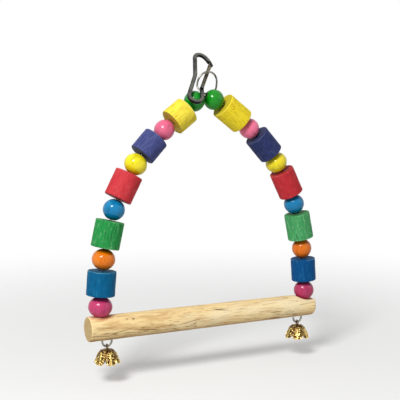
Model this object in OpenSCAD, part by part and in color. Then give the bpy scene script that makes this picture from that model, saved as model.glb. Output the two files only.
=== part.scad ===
// Bird swing: a bent wire arch strung with wooden beads and blocks, a wooden perch,
// a clip hook at the top and a flower bell under each end of the perch.
// Origin: centre height of the top eye, midway between the arch's feet. X runs along the perch.

/* [Perch] */
// Length of the perch, end to end
perch_len = 167.4; // [166.6:0.2:174]
// Sideways place of the perch's middle
perch_x = -1.2; // [-2:0.2:0]
// Thickness of the perch at its left end
perch_d = 16.4; // [15.8:0.2:18]
// Thickness of the perch at its right end
perch_right_d = 15.4; // [15:0.2:15.8]
// Worn edge at the left end of the perch
perch_edge = 0.8; // [0.4:0.2:1.6]
// Worn edge at the right end of the perch
perch_right_edge = 1.4; // [0.6:0.2:2]
// Depth of the left lowest bead's seat
left_seat = 1; // [0.6:0.2:1.6]
// Depth of the right lowest bead's seat
right_seat = 4; // [3.6:0.2:4.4]
// Distance from the arch's middle to the pared hollow near the right end
hollow_x = 80; // [78:1:82]
// Radius of the pared hollow
hollow_r = 22; // [20:1:26]
// Depth of the pared hollow
hollow_depth = 3.8; // [3.2:0.2:4]
// Bore of the perch for the arch wire
perch_bore_d = 2.2; // [2:0.1:2.6]

/* [Arch wire] */
// Thickness of the arch wire
wire_d = 1.3; // [1.1:0.1:1.4]
// Distance from the arch's middle to each foot, at the top of the perch
half_span = 76.5; // [75:0.5:78]
// Bend radius of the lowest part of the arch
low_r = 251; // [245:1:260]
// Angle that the lowest part turns through
low_turn = 11.6; // [11:0.1:12.2]
// Bend radius of the middle part of the arch
mid_r = 117; // [115:1:119]
// Angle that the middle part turns through
mid_turn = 37.4; // [36.8:0.1:38]
// Bend radius of the upper part of the arch
top_r = 265; // [260:1:275]
// Angle that the wire turns back inside the left top bead
left_crook = 33; // [31:1:35]
// Angle that the wire turns on inside the right top bead
right_crook = 18; // [16:1:20]

/* [Top eye] */
// Height of the eye's centre over the perch
eye_rise = 146.5; // [146.2:0.1:147.5]
// Radius of the eye, to the middle of its wire
eye_r = 8.2; // [8:0.1:8.6]
// Sideways place of the eye's centre
eye_x = 1.1; // [0.8:0.1:1.4]
// Distance of the eye's top behind the arch
eye_top_y = 1.8; // [1.7:0.1:1.9]
// Distance of the eye's lower left behind the arch, before its yaw
eye_low_y = 4.2; // [4.1:0.1:4.3]
// Angle of the eye's right side behind the arch
eye_yaw = 12; // [11.5:0.5:12.5]

/* [Beads] */
// Thickness of a bead of share 1
bead_d = 13.8; // [13.4:0.1:13.9]
// Length of a bead between its flat ends
bead_len = 13.2; // [13:0.1:13.3]
// Bore of a bead
bead_bore_d = 3; // [2.8:0.1:3.4]
// Bore of the two top beads
top_bore_d = 3.8; // [3.7:0.1:4]
// Space between neighbours on the wire
string_gap = 0.6; // [0.55:0.05:0.65]
// Thickness shares of the left beads, from the lowest up
left_bead_shares = [1.13, 1.09, 1.03, 1.1, 0.96, 1];
// Thickness shares of the right beads, from the lowest up
right_bead_shares = [1.03, 1, 1.03, 1.1, 1, 1];

/* [Blocks] */
// Thickness of a block of share 1
block_d = 17.8; // [17:0.2:18.6]
// Length of a block of share 1
block_len = 17.2; // [17.1:0.05:17.25]
// Edge break of a block
block_edge = 0.5; // [0.3:0.1:0.8]
// Bore of a block
block_bore_d = 3.2; // [3:0.1:3.6]
// Length shares of the left blocks, from the lowest up
left_shares = [0.93, 1.03, 1.03, 0.88, 0.8];
// Length shares of the right blocks, from the lowest up
right_shares = [0.92, 1.06, 1.08, 1.02, 1.07];

// Thickness shares of the left blocks, from the lowest up
left_width_shares = [1.04, 1.04, 1.03, 0.98, 1.04];
// Thickness shares of the right blocks, from the lowest up
right_width_shares = [0.97, 1.01, 0.97, 0.98, 1.02];

/* [Bell loops of the wire] */
// Radius of the small loop under each end, to the middle of the wire
loop_r = 3.2; // [3.1:0.1:3.4]
// Bend radius where the wire enters the perch
lean_r = 30; // [28:1:34]
// Lean of the wire through the left bore
left_lean = 4; // [3:0.5:5]
// Lean of the wire through the right bore
right_lean = 8; // [7:0.5:9]
// Angle that each foot loop turns through
loop_turn = 172; // [168:1:173]
// Space between the wire's end and the underside of the perch
end_gap = 0.2; // [0.1:0.05:0.2]
// Straight wire below the perch before the loop starts
loop_drop = 1; // [0.8:0.1:1.4]

/* [Hook] */
// Width of the hook's bar
bar_w = 2.7; // [2.5:0.1:2.8]
// Thickness of the hook
bar_t = 2.4; // [2.3:0.1:2.5]
// Edge break of the hook's bar
bar_edge = 0.5; // [0.3:0.1:0.6]
// Backward lean of the hook
hook_lean = 41; // [40:0.5:42]
// Turn of the hook in its own plane
hook_turn = 17; // [16.5:0.5:17.5]
// Sideways place of the hook's round end
hook_x = -13.4; // [-13.5:0.05:-13.3]
// Distance of the round end below the point where the hook's plane is nearest to the left top bead
hook_slide = 3.6; // [3.5:0.05:3.7]
// Length of the straight spine
spine_len = 15.2; // [14.9:0.1:15.5]
// Radius of the bow at the top, to the middle of the bar
bow_r = 4; // [3.9:0.1:4.2]
// Angle that the bow turns through
bow_turn = 125; // [124:1:126]
// Radius of the nose, to the middle of the bar
nose_r = 12; // [11.5:0.5:12.5]
// Angle that the nose turns through
nose_turn = 35; // [34:1:36]
// Straight tip of the nose
nose_tip = 2; // [1.8:0.1:2.4]
// Radius of the bend below the spine
knee_r = 10; // [9:1:11]
// Angle of the bend below the spine
knee_turn = 13; // [12:0.5:14]
// Length of the slanted side below the spine
side_len = 18.2; // [17.8:0.1:18.6]
// Radius of the round lower end, to the middle of the bar
round_r = 4.4; // [4.3:0.1:4.6]
// Straight bar from the round end up to the gate's pivot
pivot_rise = 9; // [8.8:0.1:9.2]

/* [Gate of the hook] */
// Lean of the closed gate
gate_lean = 15; // [14.5:0.5:15.5]
// Width of the gate
gate_w = 2.4; // [2.2:0.1:2.6]
// Length of the gate from its pivot to its shoulder
gate_len = 23.3; // [23.1:0.1:23.5]
// Length of the gate's lip behind the nose
lip_len = 2.5; // [2.2:0.1:2.7]
// Thickness of each cheek of the gate
cheek_t = 0.6; // [0.55:0.05:0.65]
// Thickness of the pivot pin
pin_d = 1; // [0.9:0.05:1.1]
// Thickness of the pin's heads
head_t = 0.4; // [0.3:0.1:0.5]

/* [Bells] */
// Height of a bell
bell_h = 8.8; // [8.6:0.1:9.6]
// Widest radius of a bell, at its mouth
mouth_r = 8.6; // [8.4:0.1:9]
// Wall of a bell
bell_wall = 0.8; // [0.7:0.05:0.9]
// Width of the notches between petals, at the mouth
notch_w = 3.8; // [3.2:0.2:4.6]
// Height of the notches
notch_h = 3.8; // [3.2:0.2:4.2]
// Turn of the left bell
left_bell_turn = 30; // [20:5:40]
// Turn of the right bell
right_bell_turn = 0; // [-10:5:10]
// Thickness of the hanger's and the clapper's wire
thin_d = 0.7; // [0.6:0.05:0.75]
// Radius of the hanger's upper loop, to the middle of its wire
hang_r = 1.4; // [1.4:0.05:1.55]
// Radius of the two inner loops, to the middle of their wire
link_r = 1.1; // [1.05:0.05:1.2]
// Thickness of the clapper's ball
ball_d = 4.6; // [4.2:0.1:4.7]
// Height of the clapper from its loop's foot to the ball's middle
ball_drop = 1.9; // [1.8:0.1:2]

/* [Clearances] */
// Space between loose pieces
loose = 0.35; // [0.3:0.05:0.4]
// Space between the hook and the gate
gate_gap = 0.3; // [0.25:0.05:0.35]
// Radial space between the pin and the gate
pin_fit = 0.05; // [0.03:0.01:0.08]

/* [Hidden] */
$fn = 96;
quarter = 90;
half = 180;
petals = 6;
low_len = low_r * low_turn * PI / half;
mid_len = mid_r * mid_turn * PI / half;
piece_count = 11;
last_piece = piece_count - 1;
bead_r = bead_d / 2;
// Radius of a bead's flat ends
bead_rim = sqrt(bead_r * bead_r - bead_len * bead_len / 4);
bead_steps = 28;
crown_len = bead_len + 2 * string_gap;
loop_z = -perch_d - loop_drop;
// Where lengths of wire or bar join, the straight ones reach into the bends and are a hair thicker
join_lap = wire_d / 25;
join_trim = wire_d / 80;
join_grow = wire_d / 130;
bell_profile_shares = [[0, 0], [0.28, 0], [0.5, 0.06], [0.66, 0.21], [0.78, 0.43], [0.87, 0.66],
    [0.94, 0.86], [1, 1], [0, 1]];

// A place on a flat path is [sideways, height, heading], heading 0 is up and turns to the middle
function arc_end(p, r, a) =
    [p[0] - r * cos(p[2]) + r * cos(p[2] + a), p[1] - r * sin(p[2]) + r * sin(p[2] + a), p[2] + a];
function run_end(p, run) = [p[0] - run * sin(p[2]), p[1] + run * cos(p[2]), p[2]];
function turned(run, r) = run / r * half / PI;

// The arch's path by distance from the top of the perch
low_end = arc_end([half_span, 0, 0], low_r, low_turn);
mid_end = arc_end(low_end, mid_r, mid_turn);
function arch_at(s) =
    s <= 0 ? [half_span, s, 0]
    : s <= low_len ? arc_end([half_span, 0, 0], low_r, turned(s, low_r))
    : s <= low_len + mid_len ? arc_end(low_end, mid_r, turned(s - low_len, mid_r))
    : arc_end(mid_end, top_r, turned(s - low_len - mid_len, top_r));

// Pieces on the wire, side -1 is left and 1 is right, k counts from the lowest piece
function shares(side) = side < 0 ? left_shares : right_shares;
function bead_share(side, k) = (side < 0 ? left_bead_shares : right_bead_shares)[k / 2];
function block_share(side, k) = (side < 0 ? left_width_shares : right_width_shares)[(k - 1) / 2];
function piece_len(side, k) = k % 2 == 0 ? bead_len : block_len * shares(side)[(k - 1) / 2];
function piece_from(side, k) =
    k == 0 ? (side < 0 ? -left_seat : -right_seat)
    : piece_from(side, k - 1) + piece_len(side, k - 1) + string_gap;
function crook(side) = side < 0 ? -left_crook : right_crook;
function crook_r(side) = crown_len * half / (PI * crook(side));
function crown_at(side, share) =
    arc_end(arch_at(piece_from(side, last_piece) - string_gap / 2), crook_r(side), crook(side) * share);
function piece_foot(side, k) = k == last_piece ? crown_at(side, 0) : arch_at(piece_from(side, k));
function piece_mid(side, k) =
    k == last_piece ? crown_at(side, 0.5) : arch_at(piece_from(side, k) + piece_len(side, k) / 2);
function piece_top(side, k) =
    k == last_piece ? crown_at(side, 1) : arch_at(piece_from(side, k) + piece_len(side, k));
function seat(side, k) =
    let(a = piece_foot(side, k), m = piece_mid(side, k), b = piece_top(side, k))
    [(a[0] + b[0]) / 4 + m[0] / 2, (a[1] + b[1]) / 4 + m[1] / 2, atan2(a[0] - b[0], b[1] - a[1])];

// The wire below the perch
function lean(side) = side < 0 ? left_lean : right_lean;
function lean_end(side) = arc_end([half_span, 0, half], -lean_r, -lean(side));
function tail_len(side) = (lean_end(side)[1] - loop_z) / cos(lean(side));
function tail_end(side) = run_end(lean_end(side), tail_len(side));
function loop_mid(side) = let(p = tail_end(side)) [p[0] + loop_r * cos(p[2]), p[1] + loop_r * sin(p[2])];
function loop_end(side) = arc_end(tail_end(side), -loop_r, -loop_turn);
function end_len(side) = (-perch_d - end_gap - loop_end(side)[1]) / cos(loop_end(side)[2]);
function bell_pivot(side) = [side * loop_mid(side)[0], 0, loop_mid(side)[1] - loop_r];

// The wire of the top eye, from the left top bead to the right one, as corners with their bend radii
left_pole = crown_at(-1, 1);
right_pole = crown_at(1, 1);
function off_pole(p, side, run) = let(q = run_end(p, run)) [side * q[0], 0, q[1]];
function eye_corner(side, y, z) = [eye_x + side * eye_r * cos(eye_yaw), y + side * eye_r * sin(eye_yaw), z];
// The top corners are a little tighter than the eye, so that they meet
eye_round = 0.97 * eye_r;
reach = wire_d;
back_y = bead_r;
back_z = right_pole[1] + wire_d;
eye_path = [
    [off_pole(left_pole, -1, 0), 0],
    [off_pole(left_pole, -1, reach), 1.15 * wire_d],
    [eye_corner(-1, eye_low_y, eye_rise - eye_r / 4), 2 * wire_d],
    [eye_corner(-1, eye_top_y, eye_rise + eye_r), eye_round],
    [eye_corner(1, eye_top_y, eye_rise + eye_r), eye_round],
    [eye_corner(1, back_y - eye_r * sin(eye_yaw), back_z), 3.5 * wire_d],
    [[eye_x - eye_r / 3, back_y, back_z], 1.15 * wire_d],
    [off_pole(right_pole, 1, reach), 0.7 * wire_d],
    [off_pole(right_pole, 1, 0), 0]];

// Vectors
function unit(v) = v / norm(v);
function corner_turn(path, i) =
    acos(unit(path[i][0] - path[i - 1][0]) * unit(path[i + 1][0] - path[i][0]));
function cut_back(path, i) =
    i == 0 || i == len(path) - 1 ? 0 : path[i][1] * tan(corner_turn(path, i) / 2);

module at_eye() translate([0, 0, -eye_rise]) children();

// One bend of wire that starts at the place p
module wire_bend(p, r, a)
    translate([p[0] - r * cos(p[2]), 0, p[1] - r * sin(p[2])]) rotate([quarter, 0, 0])
    rotate([0, 0, (a > 0 ? p[2] : p[2] + half + a) + turned(join_trim, abs(r))])
    rotate_extrude(angle = abs(a) - 2 * turned(join_trim, abs(r))) translate([abs(r), 0]) circle(d = wire_d);

module wire_run(p, run)
    translate([p[0], 0, p[1]]) rotate([0, -p[2], 0]) translate([0, 0, -join_lap])
    cylinder(h = run + 2 * join_lap, d = wire_d + 2 * join_grow);

// Wire along corners in space, each corner rounded to its own radius
module wire_path(path) {
    for (i = [0 : len(path) - 2]) {
        d = unit(path[i + 1][0] - path[i][0]);
        from = cut_back(path, i);
        run = norm(path[i + 1][0] - path[i][0]) - from - cut_back(path, i + 1);
        translate(path[i][0] + (from - join_lap) * d) rotate([0, acos(d[2]), atan2(d[1], d[0])])
            cylinder(h = max(run, 0) + 2 * join_lap, d = wire_d + 2 * join_grow);
    }
    for (i = [1 : len(path) - 2]) {
        before = unit(path[i][0] - path[i - 1][0]);
        after = unit(path[i + 1][0] - path[i][0]);
        n = unit(cross(before, after));
        centre_way = unit(after - before);
        centre = path[i][0] + centre_way * path[i][1] / cos(corner_turn(path, i) / 2);
        tilt = acos(n[2]);
        yaw = atan2(n[1], n[0]);
        ex = [cos(tilt) * cos(yaw), cos(tilt) * sin(yaw), -sin(tilt)];
        ey = [-sin(yaw), cos(yaw), 0];
        way = path[i][0] - cut_back(path, i) * before - centre;
        trim = turned(join_trim, path[i][1]);
        translate(centre) rotate([0, tilt, yaw]) rotate([0, 0, atan2(way * ey, way * ex) + trim])
            rotate_extrude(angle = corner_turn(path, i) - 2 * trim)
            translate([path[i][1], 0]) circle(d = wire_d);
    }
}

module half_arch(side) {
    top_from = low_len + mid_len;
    wire_bend([half_span, 0, 0], low_r, low_turn);
    wire_bend(low_end, mid_r, mid_turn);
    wire_bend(mid_end, top_r, turned(piece_from(side, last_piece) - string_gap / 2 - top_from, top_r));
    wire_bend(crown_at(side, 0), crook_r(side), crook(side));
    for (p = [[half_span, 0, 0], low_end, mid_end, crown_at(side, 0)]) wire_run(p, 0);
    wire_bend([half_span, 0, half], -lean_r, -lean(side));
    wire_run(lean_end(side), tail_len(side));
    wire_bend(tail_end(side), -loop_r, -loop_turn);
    wire_run(loop_end(side), end_len(side));
}

module arch_wire()
    color([0.62, 0.62, 0.6]) at_eye() {
        half_arch(1);
        mirror([1, 0, 0]) half_arch(-1);
        wire_path(eye_path);
    }

// A bead's outline from its lower flat end to its upper one, grown all round
function bead_outline(side, k, grow) =
    let(r = bead_r * bead_share(side, k),
        h = bead_len / 2,
        along = h / sqrt(1 - bead_rim * bead_rim / r / r),
        last = asin(h / along))
    [for (i = [0 : bead_steps]) let(a = last * (2 * i / bead_steps - 1))
        [(r + grow) * cos(a), (along + grow) * sin(a)]];

module bead_seat(side) {
    p = seat(side, 0);
    outline = bead_outline(side, 0, loose);
    translate([side * p[0], 0, p[1]]) rotate([0, -side * p[2], 0]) rotate_extrude()
        polygon(concat([[0, outline[0][1]]], outline, [[0, outline[bead_steps][1]]]));
}

module perch_bore(side) {
    p = lean_end(side);
    translate([side * p[0], 0, p[1]]) rotate([0, -side * p[2], 0])
        translate([0, 0, -perch_d]) cylinder(h = 3 * perch_d, d = perch_bore_d);
}

module perch()
    color([0.86, 0.71, 0.5]) at_eye() difference() {
        translate([perch_x - perch_len / 2, 0, -perch_d / 2]) rotate([0, quarter, 0])
            rotate_extrude()
            polygon([[0, 0], [perch_d / 2 - perch_edge, 0], [perch_d / 2, perch_edge],
                [perch_right_d / 2, perch_len - perch_right_edge],
                [perch_right_d / 2 - perch_right_edge, perch_len], [0, perch_len]]);
        translate([hollow_x, 0, hollow_r - hollow_depth]) rotate([quarter, 0, 0])
            cylinder(h = 2 * perch_d, r = hollow_r, center = true);
        bead_seat(-1);
        bead_seat(1);
        perch_bore(-1);
        perch_bore(1);
    }

// Puts a piece on the wire, its bore along the wire
module on_wire(side, k) {
    p = seat(side, k);
    at_eye() translate([side * p[0], 0, p[1]]) rotate([0, -side * p[2], 0]) children();
}

module bead(side, k) {
    bore = (k == last_piece ? top_bore_d : bead_bore_d) / 2;
    outline = bead_outline(side, k, 0);
    on_wire(side, k) rotate_extrude()
        polygon(concat([[bore, outline[0][1]]], outline, [[bore, outline[bead_steps][1]]]));
}

module block(side, k) {
    long = piece_len(side, k);
    br = block_share(side, k) * block_d / 2;
    on_wire(side, k) translate([0, 0, -long / 2]) rotate_extrude()
        polygon([[block_bore_d / 2, 0], [br - block_edge, 0], [br, block_edge],
            [br, long - block_edge], [br - block_edge, long], [block_bore_d / 2, long]]);
}

module left_magenta_bead() color([0.76, 0.22, 0.42]) bead(-1, 0);
module left_blue_block() color([0.03, 0.35, 0.52]) block(-1, 1);
module left_orange_bead() color([0.89, 0.49, 0.11]) bead(-1, 2);
module left_green_block() color([0.22, 0.62, 0.33]) block(-1, 3);
module left_blue_bead() color([0.12, 0.54, 0.74]) bead(-1, 4);
module left_red_block() color([0.8, 0.24, 0.25]) block(-1, 5);
module left_yellow_bead() color([0.96, 0.89, 0.21]) bead(-1, 6);
module left_navy_block() color([0.25, 0.3, 0.5]) block(-1, 7);
module left_pink_bead() color([0.91, 0.46, 0.58]) bead(-1, 8);
module left_yellow_block() color([0.92, 0.83, 0.25]) block(-1, 9);
module left_green_bead() color([0.16, 0.55, 0.18]) bead(-1, 10);
module right_magenta_bead() color([0.76, 0.22, 0.42]) bead(1, 0);
module right_blue_block() color([0.03, 0.35, 0.52]) block(1, 1);
module right_orange_bead() color([0.89, 0.49, 0.11]) bead(1, 2);
module right_green_block() color([0.22, 0.62, 0.33]) block(1, 3);
module right_blue_bead() color([0.12, 0.54, 0.74]) bead(1, 4);
module right_red_block() color([0.8, 0.24, 0.25]) block(1, 5);
module right_yellow_bead() color([0.96, 0.89, 0.21]) bead(1, 6);
module right_navy_block() color([0.25, 0.3, 0.5]) block(1, 7);
module right_pink_bead() color([0.91, 0.46, 0.58]) bead(1, 8);
module right_yellow_block() color([0.92, 0.83, 0.25]) block(1, 9);
module right_green_bead() color([0.16, 0.55, 0.18]) bead(1, 10);

// The hook's path in its own plane, [sideways, height, heading], from the spine's foot both ways
spine_foot = [0, 0, 0];
spine_top = run_end(spine_foot, spine_len);
bow_end = arc_end(spine_top, -bow_r, -bow_turn);
nose_end = arc_end(bow_end, -nose_r, -nose_turn);
knee_end = arc_end([0, 0, half], -knee_r, -knee_turn);
side_end = run_end(knee_end, side_len);
round_turn = half + knee_turn;
round_end = arc_end(side_end, round_r, round_turn);
pivot = run_end(round_end, pivot_rise);
round_mid = [round_end[0] - round_r, round_end[1]];
// The hook's plane clears the left top bead
hook_off = bead_r + loose + bar_t / 2;
bead_mid = seat(-1, last_piece);
module in_hook()
    at_eye() translate([hook_x, -hook_off * cos(hook_lean), bead_mid[1] + hook_off * sin(hook_lean)])
    rotate([-hook_lean, 0, 0]) translate([0, 0, -hook_slide]) rotate([0, hook_turn, 0])
    translate([-round_mid[0], 0, -round_mid[1]]) children();

module bar_section(grow) {
    w = bar_w / 2 + grow;
    t = bar_t / 2 + grow;
    e = bar_edge;
    polygon([[-w + e, -t], [w - e, -t], [w, -t + e], [w, t - e],
        [w - e, t], [-w + e, t], [-w, t - e], [-w, -t + e]]);
}

module bar_bend(p, r, a)
    translate([p[0] - r * cos(p[2]), 0, p[1] - r * sin(p[2])]) rotate([quarter, 0, 0])
    rotate([0, 0, (a > 0 ? p[2] : p[2] + half + a) + turned(join_trim, abs(r))])
    rotate_extrude(angle = abs(a) - 2 * turned(join_trim, abs(r))) translate([abs(r), 0]) bar_section(0);

module bar_run(p, run)
    translate([p[0], 0, p[1]]) rotate([0, -p[2], 0]) translate([0, 0, -join_lap])
    linear_extrude(height = run + 2 * join_lap) bar_section(join_grow);

// Puts a child at the pivot with its height along the closed gate
module at_gate() translate([pivot[0], 0, pivot[1]]) rotate([0, gate_lean, 0]) children();

tongue_t = bar_t - 2 * cheek_t - 2 * gate_gap;
knuckle_r = bar_w / 2 + gate_gap;

module hook_body()
    color([0.3, 0.3, 0.3]) in_hook() {
        difference() {
            union() {
                bar_run(spine_foot, spine_len);
                bar_bend(spine_top, -bow_r, -bow_turn);
                bar_run(bow_end, 0);
                bar_bend(bow_end, -nose_r, -nose_turn);
                bar_run(nose_end, nose_tip);
                bar_bend([0, 0, half], -knee_r, -knee_turn);
                bar_run(knee_end, side_len);
                bar_bend(side_end, round_r, round_turn);
                bar_run(round_end, pivot_rise - knuckle_r - gate_gap);
            }
            at_gate() translate([-2 * bar_w, -bar_t, gate_len - bar_w])
                cube([4 * bar_w, 2 * bar_t, bar_w + gate_gap]);
            at_gate() translate([-2 * bar_w, -bar_t, gate_len])
                cube([2 * bar_w + gate_gap / 2, 2 * bar_t, lip_len + gate_gap]);
        }
        difference() {
            union() {
                translate([pivot[0], 0, pivot[1]]) rotate([quarter, 0, 0])
                    cylinder(h = tongue_t, r = bar_w / 2, center = true);
                translate([pivot[0] - bar_w / 2, -tongue_t / 2, pivot[1] - knuckle_r - bar_w / 2])
                    cube([bar_w, tongue_t, knuckle_r + bar_w / 2]);
            }
            translate([pivot[0], 0, pivot[1]]) rotate([quarter, 0, 0])
                cylinder(h = 2 * bar_t, d = pin_d, center = true);
        }
    }

module hook_gate()
    color([0.42, 0.42, 0.36]) in_hook() at_gate() difference() {
        union() {
            rotate([quarter, 0, 0]) cylinder(h = bar_t, d = gate_w, center = true);
            translate([-gate_w / 2, -bar_t / 2, 0]) cube([gate_w, bar_t, gate_len]);
            translate([-gate_w / 2, -bar_t / 2, 0])
                cube([(gate_w - gate_gap) / 2, bar_t, gate_len + lip_len]);
        }
        rotate([quarter, 0, 0]) cylinder(h = 2 * bar_t, d = pin_d + 2 * pin_fit, center = true);
        translate([-bar_w, -tongue_t / 2 - gate_gap, -bar_w])
            cube([2 * bar_w, tongue_t + 2 * gate_gap, bar_w + bar_w / 2 + gate_gap]);
    }

module hook_gate_pin()
    color([0.5, 0.5, 0.5]) in_hook() translate([pivot[0], 0, pivot[1]]) rotate([quarter, 0, 0]) {
        cylinder(h = bar_t + gate_gap, d = pin_d, center = true);
        for (end = [-1, 1])
            translate([0, 0, end * (bar_t + gate_gap + head_t) / 2])
                cylinder(h = head_t, d = 2 * pin_d, center = true);
    }

hang_mid = wire_d / 2 + loose + thin_d / 2 - hang_r;
crown_z = hang_mid - hang_r - thin_d / 2;
inner_z = crown_z - 1.3 * bell_wall - link_r;
swing_z = inner_z - link_r;
clap_mid = swing_z + thin_d + loose - link_r;
ball_z = clap_mid - link_r - ball_drop;

module at_bell(side) at_eye() translate(bell_pivot(side)) children();

module thin_loop(r, z, turn)
    translate([0, 0, z]) rotate([0, 0, turn]) rotate([quarter, 0, 0])
        rotate_extrude() translate([r, 0]) circle(d = thin_d);

module bell(side, turn)
    at_bell(side) translate([0, 0, crown_z]) rotate([0, 0, turn]) difference() {
        rotate_extrude() polygon([for (p = bell_profile_shares) [p[0] * mouth_r, -p[1] * bell_h]]);
        translate([0, 0, -bell_wall])
            rotate_extrude()
            polygon([for (p = bell_profile_shares) [p[0] * (mouth_r - bell_wall), -p[1] * bell_h]]);
        cylinder(h = 4 * bell_wall, d = thin_d, center = true);
        for (i = [0 : petals - 1])
            rotate([0, 0, (i + 0.5) * 2 * half / petals]) translate([0, 0, -bell_h])
                rotate([quarter, 0, quarter]) linear_extrude(height = 2 * mouth_r)
                polygon([[-notch_w / 2, -bell_wall], [notch_w / 2, -bell_wall], [notch_w / 2, notch_h / 7],
                    [notch_w / 8, notch_h], [-notch_w / 8, notch_h], [-notch_w / 2, notch_h / 7]]);
    }

module bell_hanger(side)
    at_bell(side) {
        thin_loop(hang_r, hang_mid, quarter);
        thin_loop(link_r, inner_z, 0);
        translate([0, 0, inner_z + link_r])
            cylinder(h = hang_mid - hang_r - inner_z - link_r, d = thin_d);
    }

module clapper(side)
    at_bell(side) {
        thin_loop(link_r, clap_mid, quarter);
        translate([0, 0, ball_z]) cylinder(h = ball_drop, d = thin_d);
        translate([0, 0, ball_z]) sphere(d = ball_d);
    }

module left_bell() color([0.83, 0.66, 0.3]) bell(-1, left_bell_turn);
module right_bell() color([0.83, 0.66, 0.3]) bell(1, right_bell_turn);
module left_bell_hanger() color([0.75, 0.7, 0.55]) bell_hanger(-1);
module right_bell_hanger() color([0.75, 0.7, 0.55]) bell_hanger(1);
module left_clapper() color([0.8, 0.64, 0.3]) clapper(-1);
module right_clapper() color([0.8, 0.64, 0.3]) clapper(1);

perch();
arch_wire();
left_magenta_bead();
left_blue_block();
left_orange_bead();
left_green_block();
left_blue_bead();
left_red_block();
left_yellow_bead();
left_navy_block();
left_pink_bead();
left_yellow_block();
left_green_bead();
right_magenta_bead();
right_blue_block();
right_orange_bead();
right_green_block();
right_blue_bead();
right_red_block();
right_yellow_bead();
right_navy_block();
right_pink_bead();
right_yellow_block();
right_green_bead();
hook_body();
hook_gate();
hook_gate_pin();
left_bell();
left_bell_hanger();
left_clapper();
right_bell();
right_bell_hanger();
right_clapper();
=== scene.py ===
import math
import random
import bpy
import bmesh
from mathutils import Matrix, Vector, noise


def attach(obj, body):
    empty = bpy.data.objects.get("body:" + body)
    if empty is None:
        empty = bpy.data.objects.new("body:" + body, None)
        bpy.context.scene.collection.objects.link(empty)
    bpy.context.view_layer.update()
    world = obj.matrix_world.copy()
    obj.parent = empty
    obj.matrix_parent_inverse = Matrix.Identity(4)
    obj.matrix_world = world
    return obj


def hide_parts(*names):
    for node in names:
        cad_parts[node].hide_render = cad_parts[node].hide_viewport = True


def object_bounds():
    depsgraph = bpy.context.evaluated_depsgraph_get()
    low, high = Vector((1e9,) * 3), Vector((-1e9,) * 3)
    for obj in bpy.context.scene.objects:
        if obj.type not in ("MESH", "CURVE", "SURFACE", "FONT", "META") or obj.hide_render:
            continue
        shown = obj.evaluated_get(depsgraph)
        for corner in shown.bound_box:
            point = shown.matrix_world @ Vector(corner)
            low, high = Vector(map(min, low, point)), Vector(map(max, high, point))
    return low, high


# Bird swing: wooden beads and blocks on a wire arch, a wooden perch, a clip hook and two flower bells.
# Lengths are written in millimetres. The origin is the middle of the top eye.

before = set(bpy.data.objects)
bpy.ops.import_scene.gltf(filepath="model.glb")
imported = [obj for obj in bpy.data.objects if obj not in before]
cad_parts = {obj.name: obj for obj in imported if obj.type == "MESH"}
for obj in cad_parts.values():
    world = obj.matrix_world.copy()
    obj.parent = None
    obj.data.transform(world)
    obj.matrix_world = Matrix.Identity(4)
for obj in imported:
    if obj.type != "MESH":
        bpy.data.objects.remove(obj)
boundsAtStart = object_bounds()
print("frame loaded,", len(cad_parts), "nodes")

mm = 0.001
dice = random.Random(11)

arch = {
    "rise": 146.5,  # height of the eye's centre over the perch
    "halfSpan": 76.5,  # from the middle to where the wire meets the perch
    "wire": 1.3,
    "low": (251, 11.6),  # bend radius and angle, as in the next one
    "mid": (117, 37.4),
    "topRadius": 265,
    "gap": 0.6,  # between neighbours on the wire
    "crook": {-1: -33, 1: 18},  # turn of the wire in the top bead, left and right
    "seatDepth": {-1: 1, 1: 4},  # how deep the lowest bead sits in the perch
    "bendUnder": 30,
    "lean": {-1: 4, 1: 8},  # of the wire in the perch
    "footRadius": 3.2,
    "footTurn": 172,
    "footDrop": 1,
    "endGap": 0.2,  # between the wire's end and the perch
    # lowBack and topBack: how far back the eye's left side and its top are, before it turns by yaw
    "eye": {"radius": 8.2, "x": 1.1, "topBack": 1.8, "lowBack": 4.2, "yaw": 12},
    "steel": (0.66, 0.655, 0.62),
    "dark": (0.36, 0.35, 0.32),
}


# The arch's path. A place is (sideways, height, heading), heading 0 is up and turns to the middle.

def arcEnd(place, radius, turn):
    before, after = math.radians(place[2]), math.radians(place[2] + turn)
    return (place[0] - radius * math.cos(before) + radius * math.cos(after),
            place[1] - radius * math.sin(before) + radius * math.sin(after), place[2] + turn)


def runEnd(place, run):
    heading = math.radians(place[2])
    return (place[0] - run * math.sin(heading), place[1] + run * math.cos(heading), place[2])


def turned(run, radius):
    return math.degrees(run / radius)


def arcPlaces(place, radius, turn, count):
    return [arcEnd(place, radius, turn * i / count) for i in range(count + 1)]


lowLength = arch["low"][0] * math.radians(arch["low"][1])
midLength = arch["mid"][0] * math.radians(arch["mid"][1])
foot = (arch["halfSpan"], 0, 0)
lowEnd = arcEnd(foot, *arch["low"])
midEnd = arcEnd(lowEnd, *arch["mid"])


def archAt(run):
    if run <= 0:
        return (arch["halfSpan"], run, 0)
    if run <= lowLength:
        return arcEnd(foot, arch["low"][0], turned(run, arch["low"][0]))
    if run <= lowLength + midLength:
        return arcEnd(lowEnd, arch["mid"][0], turned(run - lowLength, arch["mid"][0]))
    return arcEnd(midEnd, arch["topRadius"], turned(run - lowLength - midLength, arch["topRadius"]))


def pieceLength(side, k):
    return bead["long"] if k % 2 == 0 else block["long"] * block["shares"][side][k // 2]


def pieceFrom(side, k):
    run = -arch["seatDepth"][side]
    for i in range(k):
        run += pieceLength(side, i) + arch["gap"]
    return run


def crookRadius(side):
    return math.degrees((bead["long"] + 2 * arch["gap"]) / arch["crook"][side])


def crownAt(side, share):
    start = archAt(pieceFrom(side, 10) - arch["gap"] / 2)
    return arcEnd(start, crookRadius(side), arch["crook"][side] * share)


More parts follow.
